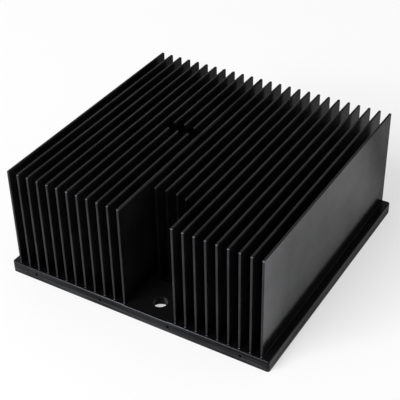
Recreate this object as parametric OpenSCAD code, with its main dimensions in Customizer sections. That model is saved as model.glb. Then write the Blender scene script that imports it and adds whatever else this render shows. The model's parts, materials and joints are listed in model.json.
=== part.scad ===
// Skived fin heat sink: thin upright fins, shaved from a flat base and still one piece with it.
// X runs across the fins, Y along them with the front at -Y, and Z up from the base's underside.

/* [Base] */
// Width of the base, across the fins
base_w = 128; // [80:1:200]
// Length of the base, along the fins
base_l = 123; // [80:1:200]
// Thickness of the base
base_t = 5.5; // [4:0.5:12]
// Radius of the base's four upright corners
base_corner_r = 1; // [0.5:0.5:5]
// Rounding along the base's upper edges
base_edge_r = 0.3; // [0.1:0.1:0.4]

/* [Fins] */
// Height of the fins above the base
fin_h = 48.5; // [20:0.5:90]
// Thickness of one fin
fin_t = 1; // [0.6:0.1:1.6]
// Spacing of the fins, middle to middle
fin_pitch = 5; // [3.6:0.1:8]
// Least width of bare flange beside the outermost fins
side_flange = 3.5; // [1:0.5:12]
// Set-back of the fins' ends from the base's front and back edges
end_setback = 1; // [0.8:0.1:10]
// Radius that blends the foot of each fin into the base, along its two sides
root_r = 0.15; // [0.1:0.05:0.9]
// Radius that blends the foot of each fin into the base, at its two ends
end_root_r = 0.5; // [0.1:0.05:0.7]
// Rounding of each fin's edges, along its tip and up its two ends
edge_r = 0.25; // [0.1:0.05:0.3]
// Rounding of each fin's two top corners, seen from the side
fin_corner_r = 0.8; // [0.2:0.1:3]

/* [Front pocket] */
// How many fins the pocket cuts short, counted right from the middle fin
pocket_fins = 4; // [2:1:6]
// Depth of the pocket, back from the base's front edge
pocket_depth = 21.5; // [15:0.5:40]
// Gap between the pocket's left side and the whole fin beside it
pocket_left_gap = 0.3; // [0.1:0.1:3]
// Gap between the pocket's right side and the whole fin beside it
pocket_right_gap = 2.7; // [0.1:0.1:3]
// Radius of the cutter, which rounds the pocket's two inner corners
cutter_r = 6; // [2:0.5:8]
// How far the cutter goes into the base, to clean the seat
seat_cut = 0.3; // [0.1:0.1:1]
// Width of the bevel along the top of the whole fin left of the pocket
bevel_w = 0.45; // [0.1:0.05:0.5]
// Height of that bevel
bevel_h = 0.65; // [0.1:0.05:1]

/* [Bolt hole] */
// Diameter of the bolt hole in the pocket's floor
bolt_hole_d = 6.6; // [3.4:0.1:9]
// Distance of the bolt hole from the base's front edge
bolt_setback = 9.5; // [8:0.5:12]
// How far the bolt hole lies right of the pocket's middle
bolt_offset = 1.2; // [-3:0.1:3]
// Depth of the countersink where the bolt hole meets the underside
bolt_sink = 1.2; // [0.4:0.1:2]

/* [Access slot] */
// Width of the slot that goes down through the fins to the base
access_w = 5.5; // [3:0.5:9]
// Length of the slot, across the fins
access_l = 13; // [10:0.5:24]
// Which fin the slot is centred on, counted left from the middle fin
access_fin = 3; // [1:1:6]
// How far the slot lies behind the middle of the base
access_back = 4; // [-20:1:20]

/* [Edge holes] */
// Diameter of the small blind holes in the base's front edge
edge_hole_d = 1.25; // [0.8:0.05:2.5]
// Depth of the edge holes, not counting the drill's point
edge_hole_depth = 5; // [3:0.5:20]
// How many edge holes there are
edge_hole_count = 4; // [1:1:6]
// Spacing of the edge holes, middle to middle
edge_hole_spacing = 34; // [8:1:38]

/* [Hidden] */
$fn = 64;

// A cut runs this far past the faces that it opens
cut_over = 1;
// Whole angle of a drill's point
drill_point_angle = 118;
// Rounding error that the fin count forgives
count_slack = 0.001;
// Largest share of a width that one of its two rounded corners may take
corner_share = 0.49;

fin_span = base_w - 2 * side_flange - fin_t;
fin_count = floor(fin_span / fin_pitch + count_slack) + 1;
middle_fin = floor(fin_count / 2);
fin_length = base_l - 2 * end_setback;
edge_round = min(edge_r, corner_share * fin_t);
top_z = base_t + fin_h;

wall_x = fin_x(middle_fin - 1) + fin_t / 2;
pocket_left = wall_x + pocket_left_gap;
pocket_right = fin_x(middle_fin + pocket_fins) - fin_t / 2 - pocket_right_gap;
pocket_x = (pocket_left + pocket_right) / 2;
pocket_w = pocket_right - pocket_left;
pocket_round = min(cutter_r, corner_share * pocket_w);
pocket_end_y = pocket_depth - base_l / 2;
seat_z = base_t - seat_cut;

bolt_x = pocket_x + bolt_offset;
bolt_y = bolt_setback - base_l / 2;
access_x = fin_x(middle_fin - access_fin);
edge_hole_point = edge_hole_d / 2 / tan(drill_point_angle / 2);

// Where a fin's middle plane stands, counting from 0 at the left
function fin_x(index) = (index - (fin_count - 1) / 2) * fin_pitch;

// Extrudes a section drawn in X and Z along Y, about the middle
module along_y(length) {
    translate([0, length / 2, 0])
        rotate([90, 0, 0])
            linear_extrude(height = length)
                children();
}

// Extrudes a section drawn in Y and Z along X, about the middle
module along_x(length) {
    translate([-length / 2, 0, 0])
        rotate([90, 0, 90])
            linear_extrude(height = length)
                children();
}

// A rectangle that stands on the first axis, with its two top corners rounded
module round_topped(width, height, r) {
    inner = width / 2 - r;
    translate([-width / 2, 0])
        square([width, height - r]);
    translate([-inner, 0])
        square([2 * inner, height]);
    for (x = [-inner, inner])
        translate([x, height - r])
            circle(r = r);
}

// A rectangle about the middle, with its four corners rounded
module round_bar(width, height, r) {
    for (turn = [0, 180])
        rotate(turn)
            round_topped(width, height / 2, r);
}

// Cross-section of the base plate, sharp below and rounded along its upper edges
module plate_section(width) {
    round_topped(width, base_t, base_edge_r);
}

// One upright corner of the base, turned from half of the same section
module plate_corner() {
    rotate_extrude()
        intersection() {
            plate_section(2 * base_corner_r);
            square([base_corner_r, base_t]);
        }
}

module base_plate() {
    corner_x = base_w / 2 - base_corner_r;
    corner_y = base_l / 2 - base_corner_r;
    along_y(2 * corner_y) plate_section(base_w);
    along_x(2 * corner_x) plate_section(base_l);
    for (x = [-corner_x, corner_x], y = [-corner_y, corner_y])
        translate([x, y, 0])
            plate_corner();
}

// Section of a fin's foot, this wide, with a hollow fillet at either side
module root_section(width, r) {
    reach = width / 2 + r;
    translate([0, base_t])
        difference() {
            translate([-reach, -base_t / 2])
                square([2 * reach, base_t / 2 + r]);
            for (x = [-reach, reach])
                translate([x, r])
                    circle(r = r);
        }
}

// One fin in the middle of the base; the fillets leave its four rounded upright edges free
module fin() {
    intersection() {
        along_y(fin_length) round_topped(fin_t, top_z, edge_round);
        along_x(fin_t) round_topped(fin_length, top_z, fin_corner_r);
        translate([0, 0, base_t / 2])
            linear_extrude(height = top_z)
                round_bar(fin_t, fin_length, edge_round);
    }
    along_y(fin_length - 2 * edge_round) root_section(fin_t, root_r);
    along_x(fin_t - edge_round) root_section(fin_length, end_root_r);
}

module fin_pack() {
    for (index = [0 : fin_count - 1])
        translate([fin_x(index), 0, 0])
            fin();
}

// Plan of the pocket: open at the front, with the cutter's round in its inner corners
module pocket_plan() {
    front = -base_l / 2 - cut_over;
    translate([0, front])
        round_topped(pocket_w, pocket_end_y - front, pocket_round);
}

// The pocket, down to the base's own top face let down by the seat cut, with its rounded front edge
module pocket() {
    difference() {
        translate([pocket_x, 0, base_t / 2])
            linear_extrude(height = top_z)
                pocket_plan();
        translate([0, 0, -seat_cut])
            base_plate();
    }
}

// The bevel on the pocket side of the whole fin left of the pocket
module wall_bevel() {
    translate([wall_x, 0, top_z])
        along_y(base_l)
            polygon([
                [-bevel_w, 0], [0, -bevel_h], [cut_over, -bevel_h],
                [cut_over, cut_over], [-bevel_w, cut_over]
            ]);
}

module bolt_hole() {
    sink_h = bolt_sink + cut_over;
    translate([bolt_x, bolt_y, -cut_over]) {
        cylinder(d = bolt_hole_d, h = base_t + 2 * cut_over);
        cylinder(d1 = bolt_hole_d + 2 * sink_h, d2 = bolt_hole_d, h = sink_h);
    }
}

// The slot down through the fins, with the round ends that its cutter leaves
module access_slot() {
    translate([access_x, access_back, seat_z])
        linear_extrude(height = top_z - seat_z + cut_over)
            round_bar(access_l, access_w, corner_share * access_w);
}

// One drilled blind hole, going back from the front edge to the drill's point
module edge_hole() {
    rotate([-90, 0, 0]) {
        translate([0, 0, -cut_over])
            cylinder(d = edge_hole_d, h = edge_hole_depth + cut_over);
        translate([0, 0, edge_hole_depth])
            cylinder(d1 = edge_hole_d, d2 = 0, h = edge_hole_point);
    }
}

module edge_holes() {
    for (index = [0 : edge_hole_count - 1])
        translate([(index - (edge_hole_count - 1) / 2) * edge_hole_spacing, -base_l / 2, base_t / 2])
            edge_hole();
}

module heat_sink() {
    color([0.07, 0.07, 0.075])
        difference() {
            union() {
                base_plate();
                fin_pack();
            }
            pocket();
            wall_bevel();
            bolt_hole();
            access_slot();
            edge_holes();
        }
}

heat_sink();
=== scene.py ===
# Looks of the skived fin heat sink: black anodised aluminium on a white studio floor
import json
import math

import bpy
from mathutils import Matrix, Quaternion, Vector


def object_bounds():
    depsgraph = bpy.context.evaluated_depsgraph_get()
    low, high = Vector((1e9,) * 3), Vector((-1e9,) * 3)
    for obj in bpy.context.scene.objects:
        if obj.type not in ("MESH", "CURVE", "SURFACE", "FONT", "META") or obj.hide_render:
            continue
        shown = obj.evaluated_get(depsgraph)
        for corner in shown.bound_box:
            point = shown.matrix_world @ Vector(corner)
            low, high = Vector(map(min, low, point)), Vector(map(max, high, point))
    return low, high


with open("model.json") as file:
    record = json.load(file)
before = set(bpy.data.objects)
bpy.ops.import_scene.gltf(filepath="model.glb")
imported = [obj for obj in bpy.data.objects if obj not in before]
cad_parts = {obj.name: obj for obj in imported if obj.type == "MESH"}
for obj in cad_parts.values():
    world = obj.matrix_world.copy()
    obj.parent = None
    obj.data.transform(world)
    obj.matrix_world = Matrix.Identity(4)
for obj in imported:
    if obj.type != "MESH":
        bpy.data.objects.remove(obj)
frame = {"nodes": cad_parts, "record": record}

MM = 0.001
CAD_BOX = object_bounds()
SINK = frame["nodes"]["heat_sink"]
WHITE = (1, 1, 1, 1)

# Camera: angles in degrees, places in metres, lens and sensor in millimetres
VIEW_AZIMUTH = 31.46
VIEW_ELEVATION = 35.64
VIEW_ROLL = -1.20
VIEW_DISTANCE = 467.3 * MM
VIEW_TARGET = Vector((-3.71, 0, 21.41)) * MM
VIEW_LENS = 93.38
SENSOR_WIDTH = 36

# Light: angles in degrees, lengths in metres, power in watts
KEY_AZIMUTH = -20
KEY_ELEVATION = 34
KEY_DISTANCE = 3.0
KEY_SIZE = 2.0
KEY_POWER = 120
WALL_TOP = 12
CEILING_START = 32
CEILING_LEVEL = 0.3

# Floor: lengths in metres
FLOOR_SIZE = 12
FLOOR_DROP = 0.05 * MM
FLOOR_COLOUR = (0.95, 0.95, 0.955, 1)
SEEN_WHITE_SHARE = 0.55
MIRRORED_WHITE_SHARE = 0.1

# Places that the frame gives, in millimetres: the part's box, its mounts and the low and high corners of the
# free room in its openings. The edge holes lie half way up the base.
LOW, HIGH = (corner / MM for corner in CAD_BOX)
FRONT = LOW.y
TOP = HIGH.z
MOUNTS = {mount["name"]: Vector(mount["pos_m"]) / MM for mount in frame["record"]["mounts"]}
OPENINGS = {
    opening["name"]: [Vector(corner) / MM for corner in opening["box_m"]]
    for opening in frame["record"]["physics"]["openings"]
}
BOLT = MOUNTS["bolt_hole"]
BASE_TOP = 2 * MOUNTS["edge_holes_outer"].z
POCKET_LOW, POCKET_HIGH = OPENINGS["bolt_pocket"]
SLOT_LOW, SLOT_HIGH = OPENINGS["access_slot"]

# Where the finish and its painted light change: ranges along X and Y, along X and Z for the bevel, along Y
# and Z for the fins' front corners, and along Z for the milling
POCKET = ((POCKET_LOW.x - 0.1, POCKET_HIGH.x + 0.1), (FRONT + 0.4, FRONT + 21.6))
SLOT = ((SLOT_LOW.x - 1.1, SLOT_HIGH.x + 1.1), (SLOT_LOW.y - 0.8, SLOT_HIGH.y + 0.8))
BOLT_SIDE = ((BOLT.x - 0.1, BOLT.x + 4.1), (BOLT.y - 0.8, BOLT.y + 3.6))
BEVEL = ((POCKET_LOW.x - 0.66, POCKET_LOW.x - 0.32), (TOP - 0.7, TOP + 0.1))
FRONT_CORNERS = ((FRONT + 0.9, FRONT + 1.9), (TOP - 0.9, TOP + 0.1))
MILLED_HEIGHT = (BASE_TOP - 0.35, TOP - 0.55)
SAWN_TOP = BASE_TOP - 0.05
CHANNELS_HALF_WIDTH = HIGH.x - 4
# Least part of a normal along an axis with which a face counts as facing that way
STEEP = 0.7

# In the rest of the finish, places are in millimetres, a rise or a fade goes from its first place to its
# second, and a share multiplies the gloss.

# Black anodised finish all over: a cloudy dye under a satin oxide, and painted shade that makes the colour
# darker towards the fins' feet
OXIDE_IOR = 1.45
SPECULAR = 0.4
SHEEN_TINT = (0.85, 0.87, 1, 1)
SATIN = (0.12, 0.2)
FOOT_SHADE_BLACK = (0.0028, 0.0028, 0.003, 1)
DEEP_BLACK = (0.006, 0.006, 0.0063, 1)
WORN_BLACK = (0.010, 0.010, 0.0104, 1)
FOOT_SHADE_FADE = (9, 16)

# Patterns: frequencies per millimetre along the three axes, and how many finer ones are laid over them
CLOUDS = ((0.08, 0.08, 0.08), 4)
GRAIN = ((0.9, 0.9, 0.9), 2)
STREAKS = ((2.5, 2.5, 0.1), 4)
SAW_MARKS = ((0.04, 0.04, 2.2), 2)
NOISE_RANGE = (0.33, 0.67)
CLOUD_SHARE = (0.87, 1.09)
GRAIN_SHARE = (0.88, 1.12)
RELIEF_DEPTH = 0.006 * MM

# Upright fin faces: a painted reflection, with a lighter front, a light leaning band, and painted shade at
# the foot and back. A lean is how far an edge of the band or of the back moves forward for each millimetre of
# height.
SIDE_SHARE = 0.75
FRONT_FADE = (-60, -36)
FRONT_SHARE = 2.0
BAND_LEAN = 1.19
BAND_RISE = (48, 66)
BAND_SHARE = 1.25
BACK_LEAN = 0.73
BACK_FADE = (45, 79)
BACK_SHARE = 0.1
FOOT_RISE = (4, 30)
FOOT_SHARE = 0.35

# Faces deep between the fins, which are matt behind the front and below the tips
MATT_ROUGHNESS = 0.7
MATT_RISE = (-42, -30)
MATT_FADE = (38, 47)

# Painted shade on the tips of the fins and the bevel, darker towards the back, and on the fins' front edges,
# and a painted glint on the fins' front corners
TIP_FADE = (-10, 60)
TIP_SHADE_SHARE = 0.5
BEVEL_FADE = (-12, 18)
BEVEL_SHADE_SHARE = (0.36, 0.1)
FRONT_EDGE_SHADE_SHARE = 0.8
CORNER_GLINT_SHARE = 1.15

# Sawn edges of the base: level lines all round and, at the front and back, a dull stripe, a painted highlight
# on the upper edge, and painted shade that darkens the lower part towards the right
SAW_LINE_SHARE = (0.2, 1.7)
SAWN_SIDE_SHARE = 0.85
STRIPE_HEIGHT = 3.7
STRIPE_FADE = (0.5, 1.7)
STRIPE_SHARE = 0.45
UPPER_EDGE_RISE = (4.7, 4.95)
UPPER_EDGE_FADE = (5, 60)
UPPER_EDGE_HIGHLIGHT_SHARE = (1.75, 0.7)
RIGHT_FADE = (-10, 50)
RIGHT_SHADE_SHARE = 0.7

# Pocket and slot: the milled floor, and the cut ends of the fins, which painted shade makes near black and
# hardly shining
MILLED_ROUGHNESS = 0.45
MILLED_BLACK = (0.004, 0.004, 0.0042, 1)
MILLED_SHARE = 0.2
CUT_END_SHADE_BLACK = (0.0012, 0.0012, 0.0013, 1)
CUT_END_SHADE_SHARE = 0.08

# Right side of the bolt hole: a painted highlight, a paler colour where its wall catches the light
BORE_HIGHLIGHT_BLACK = (0.026, 0.026, 0.027, 1)


def direction(azimuth, elevation):
    """Unit vector from the object towards a place given by two angles in degrees."""
    a = math.radians(azimuth)
    e = math.radians(elevation)
    return Vector((math.sin(a) * math.cos(e), -math.cos(a) * math.cos(e), math.sin(e)))


def add_object(name, data):
    made = bpy.data.objects.new(name, data)
    bpy.context.scene.collection.objects.link(made)
    return made


def aim(made, azimuth, elevation, distance, roll=0):
    """Puts a lamp or camera at two angles and a distance from the target, and turns it to face the target."""
    towards = direction(azimuth, elevation)
    level = (-towards).to_track_quat("-Z", "Y")
    made.location = VIEW_TARGET + towards * distance
    made.rotation_mode = "QUATERNION"
    made.rotation_quaternion = level @ Quaternion((0, 0, 1), math.radians(roll))


class Nodes:
    """Short ways to add and link the nodes of one material or world."""

    # Sockets of a Mix node that work on colours: the share and the two colours, and the result
    MIX_INPUTS = (0, 6, 7)
    MIX_RESULT = 2

    def __init__(self, owner):
        owner.use_nodes = True
        self.tree = owner.node_tree
        self.tree.nodes.clear()

    def add(self, kind, **values):
        node = self.tree.nodes.new(kind)
        for name, value in values.items():
            setattr(node, name, value)
        return node

    def put(self, socket, value):
        """Feeds a socket from another one, or sets it to a plain value."""
        if isinstance(value, bpy.types.NodeSocket):
            self.tree.links.new(value, socket)
        else:
            socket.default_value = value

    def show(self, kind, shader):
        """Ends the tree with an output node of this kind."""
        self.put(self.add(kind).inputs["Surface"], shader.outputs[0])

    def math(self, operation, *values):
        node = self.add("ShaderNodeMath", operation=operation)
        for socket, value in zip(node.inputs, values):
            self.put(socket, value)
        return node.outputs[0]

    def product(self, first, *others):
        for other in others:
            first = self.math("MULTIPLY", first, other)
        return first

    def inside(self, value, low, high):
        """1 where a value lies from low to high, and 0 elsewhere."""
        return self.math("COMPARE", value, (low + high) / 2, (high - low) / 2)

    def within(self, first, second, first_range, second_range):
        """1 where both values lie in their ranges, and 0 elsewhere."""
        return self.product(self.inside(first, *first_range), self.inside(second, *second_range))

    def without(self, mask, other):
        """1 where the first mask is 1 and the other one is 0, and 0 elsewhere."""
        return self.math("GREATER_THAN", mask, other)

    def between(self, value, low, high, at_low, at_high):
        """Goes smoothly from one value to another while the given one goes from low to high."""
        node = self.add("ShaderNodeMapRange", interpolation_type="SMOOTHSTEP")
        for socket, given in zip(node.inputs, (value, low, high, at_low, at_high)):
            self.put(socket, given)
        return node.outputs[0]

    def choose(self, mask, off, on):
        """Goes from one value to another while a mask goes from 0 to 1."""
        return self.between(mask, 0, 1, off, on)

    def mix(self, share, first, second):
        """Blends two colours."""
        node = self.add("ShaderNodeMix", data_type="RGBA")
        for index, value in zip(self.MIX_INPUTS, (share, first, second)):
            self.put(node.inputs[index], value)
        return node.outputs[self.MIX_RESULT]

    def axes(self, vector):
        node = self.add("ShaderNodeSeparateXYZ")
        self.put(node.inputs[0], vector)
        return node.outputs

    def stretched(self, vector, factors):
        node = self.add("ShaderNodeVectorMath", operation="MULTIPLY")
        self.put(node.inputs[0], vector)
        node.inputs[1].default_value = factors
        return node.outputs[0]

    def noise(self, place, frequencies, detail):
        """Noise with its own frequency along each axis."""
        node = self.add("ShaderNodeTexNoise")
        node.inputs["Scale"].default_value = 1
        node.inputs["Detail"].default_value = detail
        self.put(node.inputs["Vector"], self.stretched(place, frequencies))
        return node.outputs[0]


class Surface:
    """Where a point of the part lies, in millimetres, and masks that tell what it belongs to."""

    def __init__(self, nodes):
        coordinates = nodes.add("ShaderNodeTexCoord").outputs["Object"]
        self.place = nodes.stretched(coordinates, (1 / MM, 1 / MM, 1 / MM))
        x, y, z = nodes.axes(self.place)
        self.x, self.y, self.z = x, y, z
        facing = nodes.axes(nodes.add("ShaderNodeNewGeometry").outputs["True Normal"])

        self.on_side = nodes.math("GREATER_THAN", nodes.math("ABSOLUTE", facing["X"]), STEEP)
        self.on_front = nodes.math("LESS_THAN", facing["Y"], -STEEP)
        self.faces_up = nodes.math("GREATER_THAN", facing["Z"], STEEP)
        faces_down = nodes.math("LESS_THAN", facing["Z"], -STEEP)

        on_base = nodes.math("LESS_THAN", z, SAWN_TOP)
        in_channels = nodes.math("LESS_THAN", nodes.math("ABSOLUTE", x), CHANNELS_HALF_WIDTH)
        self.sawn = nodes.without(on_base, faces_down)
        self.between_fins = nodes.without(nodes.product(self.on_side, in_channels), on_base)
        self.on_corner = nodes.within(y, z, *FRONT_CORNERS)
        self.on_bevel = nodes.without(nodes.within(x, z, *BEVEL), self.on_corner)

        milled_height = nodes.inside(z, *MILLED_HEIGHT)
        cuts = nodes.math("MAXIMUM", nodes.within(x, y, *POCKET), nodes.within(x, y, *SLOT))
        self.milled = nodes.product(milled_height, cuts)
        # Painted highlight: where the right wall of the bolt hole catches the light
        self.bore_highlight = nodes.without(nodes.within(x, y, *BOLT_SIDE), milled_height)


def side_painted_reflection(nodes, at):
    """Painted reflection on an upright fin face: how much it shines at a place, with painted shade at its
    foot and back.
    """
    band = nodes.math("MULTIPLY_ADD", at.z, BAND_LEAN, at.y)
    back = nodes.math("MULTIPLY_ADD", at.z, BACK_LEAN, at.y)
    return nodes.product(
        SIDE_SHARE,
        nodes.between(at.y, *FRONT_FADE, FRONT_SHARE, 1),
        nodes.between(band, *BAND_RISE, 1, BAND_SHARE),
        nodes.between(back, *BACK_FADE, 1, BACK_SHARE),
        nodes.between(at.z, *FOOT_RISE, FOOT_SHARE, 1),
    )


def sawn_lines_and_painted_light(nodes, at, saw_marks):
    """How much the base's sawn edges shine at a place: saw lines, a painted highlight on the upper edge and
    painted shade towards the right.
    """
    lines = nodes.between(saw_marks, *NOISE_RANGE, *SAW_LINE_SHARE)
    off_stripe = nodes.math("ABSOLUTE", nodes.math("SUBTRACT", at.z, STRIPE_HEIGHT))
    stripe = nodes.between(off_stripe, *STRIPE_FADE, STRIPE_SHARE, 1)
    # Painted shade: the lower part shines less towards the right
    lower = nodes.product(lines, stripe, nodes.between(at.x, *RIGHT_FADE, 1, RIGHT_SHADE_SHARE))
    off_middle = nodes.math("ABSOLUTE", at.x)
    # Painted highlight along the upper edge, brightest in the middle
    upper_edge = nodes.between(off_middle, *UPPER_EDGE_FADE, *UPPER_EDGE_HIGHLIGHT_SHARE)
    front_or_back = nodes.between(at.z, *UPPER_EDGE_RISE, lower, upper_edge)
    return nodes.choose(at.on_side, front_or_back, nodes.product(lines, SAWN_SIDE_SHARE))


def gloss(nodes, at, clouds, saw_marks):
    """How much the part shines at a place, with painted reflection, glints and shade over the clouds and
    grain.
    """
    grain = nodes.noise(at.place, *GRAIN)
    # Painted shade: the fins' front edges shine less
    front_edge = nodes.choose(at.on_front, 1, FRONT_EDGE_SHADE_SHARE)
    return nodes.product(
        nodes.between(clouds, 0, 1, *CLOUD_SHARE),
        nodes.between(grain, *NOISE_RANGE, *GRAIN_SHARE),
        # Painted reflection and shade on the upright fin faces
        nodes.choose(at.on_side, 1, side_painted_reflection(nodes, at)),
        # Painted shade: the tips shine less towards the back
        nodes.choose(at.faces_up, 1, nodes.between(at.y, *TIP_FADE, 1, TIP_SHADE_SHARE)),
        # Painted shade: the bevel shines less towards the back
        nodes.choose(at.on_bevel, 1, nodes.between(at.y, *BEVEL_FADE, *BEVEL_SHADE_SHARE)),
        # Painted glint on the fins' front corners
        nodes.choose(at.on_corner, 1, CORNER_GLINT_SHARE),
        # Saw lines, with a painted highlight and painted shade, on the base's sawn edges
        nodes.choose(at.sawn, front_edge, sawn_lines_and_painted_light(nodes, at, saw_marks)),
        # Painted shade: the cut fin ends in the pocket and slot hardly shine
        nodes.choose(at.milled, 1, nodes.choose(at.faces_up, CUT_END_SHADE_SHARE, MILLED_SHARE)),
        SPECULAR,
    )


def dye_and_painted_light(nodes, at, clouds):
    """Colour of the dyed oxide at a place, with painted shade at the fins' feet and on the cut fin ends, and
    a painted highlight in the bolt hole.
    """
    cloudy = nodes.mix(clouds, DEEP_BLACK, WORN_BLACK)
    # Painted shade: the colour darkens towards the fins' feet and the base
    colour = nodes.mix(nodes.between(at.z, *FOOT_SHADE_FADE, 0, 1), FOOT_SHADE_BLACK, cloudy)
    # Painted shade: the cut fin ends are painted near black
    colour = nodes.mix(at.milled, colour, nodes.mix(at.faces_up, CUT_END_SHADE_BLACK, MILLED_BLACK))
    # Painted highlight on the right side of the bolt hole
    return nodes.mix(at.bore_highlight, colour, BORE_HIGHLIGHT_BLACK)


def roughness(nodes, at, relief):
    """Roughness at a place: satin, but matt deep between the fins and duller where it is milled."""
    satin = nodes.between(relief, *NOISE_RANGE, *SATIN)
    matt = nodes.product(
        at.between_fins,
        nodes.between(at.y, *MATT_RISE, 0, 1),
        nodes.between(at.z, *MATT_FADE, 1, 0),
    )
    return nodes.choose(at.milled, nodes.choose(matt, satin, MATT_ROUGHNESS), MILLED_ROUGHNESS)


def black_anodised():
    """Satin black oxide: cloudy dye, streaks up the fins, sawn edges on the base, dull milled places, and
    painted reflection, highlights and shade.
    """
    material = bpy.data.materials.new("black_anodised_aluminium")
    nodes = Nodes(material)
    at = Surface(nodes)
    clouds = nodes.between(nodes.noise(at.place, *CLOUDS), *NOISE_RANGE, 0, 1)
    saw_marks = nodes.noise(at.place, *SAW_MARKS)
    relief = nodes.choose(at.sawn, nodes.noise(at.place, *STREAKS), saw_marks)
    bump = nodes.add("ShaderNodeBump")
    bump.inputs["Distance"].default_value = RELIEF_DEPTH
    nodes.put(bump.inputs["Height"], relief)

    shader = nodes.add("ShaderNodeBsdfPrincipled")
    shader.inputs["IOR"].default_value = OXIDE_IOR
    shader.inputs["Specular Tint"].default_value = SHEEN_TINT
    nodes.put(shader.inputs["Base Color"], dye_and_painted_light(nodes, at, clouds))
    nodes.put(shader.inputs["Roughness"], roughness(nodes, at, relief))
    nodes.put(shader.inputs["Specular IOR Level"], gloss(nodes, at, clouds, saw_marks))
    nodes.put(shader.inputs["Normal"], bump.outputs[0])
    nodes.show("ShaderNodeOutputMaterial", shader)
    return material


def white_floor():
    """White paint that glows a little where the camera or a reflection sees it."""
    material = bpy.data.materials.new("white_floor")
    material.cycles.emission_sampling = "NONE"
    nodes = Nodes(material)
    paint = nodes.add("ShaderNodeBsdfDiffuse")
    paint.inputs["Color"].default_value = FLOOR_COLOUR
    glow = nodes.add("ShaderNodeEmission")
    glow.inputs["Color"].default_value = WHITE
    path = nodes.add("ShaderNodeLightPath").outputs
    mirrored = nodes.math("MAXIMUM", path["Is Glossy Ray"], path["Is Transmission Ray"])
    seen_share = nodes.math("MULTIPLY", path["Is Camera Ray"], SEEN_WHITE_SHARE)
    share = nodes.math("MULTIPLY_ADD", mirrored, MIRRORED_WHITE_SHARE, seen_share)
    mix = nodes.add("ShaderNodeMixShader")
    for socket, value in zip(mix.inputs, (share, paint.outputs[0], glow.outputs[0])):
        nodes.put(socket, value)
    nodes.show("ShaderNodeOutputMaterial", mix)
    return material


def add_floor():
    mesh = bpy.data.meshes.new("floor")
    half = FLOOR_SIZE / 2
    corners = [(-half, -half), (half, -half), (half, half), (-half, half)]
    mesh.from_pydata([(x, y, -FLOOR_DROP) for x, y in corners], [], [(0, 1, 2, 3)])
    mesh.materials.append(white_floor())
    floor = add_object("floor", mesh)


def light_world():
    """White walls up to a low height, fading into a dimmer ceiling."""
    world = bpy.data.worlds.new("studio")
    bpy.context.scene.world = world
    nodes = Nodes(world)
    height = nodes.axes(nodes.add("ShaderNodeTexCoord").outputs["Generated"])["Z"]
    fade = [math.sin(math.radians(angle)) for angle in (WALL_TOP, CEILING_START)]
    background = nodes.add("ShaderNodeBackground")
    background.inputs["Color"].default_value = WHITE
    nodes.put(background.inputs["Strength"], nodes.between(height, *fade, 1, CEILING_LEVEL))
    nodes.show("ShaderNodeOutputWorld", background)


def add_key_light():
    data = bpy.data.lights.new("key", "AREA")
    data.shape = "SQUARE"
    data.size = KEY_SIZE
    data.energy = KEY_POWER
    aim(add_object("key", data), KEY_AZIMUTH, KEY_ELEVATION, KEY_DISTANCE)


def add_camera():
    data = bpy.data.cameras.new("camera")
    data.sensor_width = SENSOR_WIDTH
    data.lens = VIEW_LENS
    camera = add_object("camera", data)
    aim(camera, VIEW_AZIMUTH, VIEW_ELEVATION, VIEW_DISTANCE, VIEW_ROLL)
    bpy.context.scene.camera = camera


def finish_node(node, material):
    node.data.materials.clear()
    node.data.materials.append(material)


bpy.context.scene.view_settings.view_transform = "Standard"
finish_node(SINK, black_anodised())
add_floor()
light_world()
add_key_light()
add_camera()
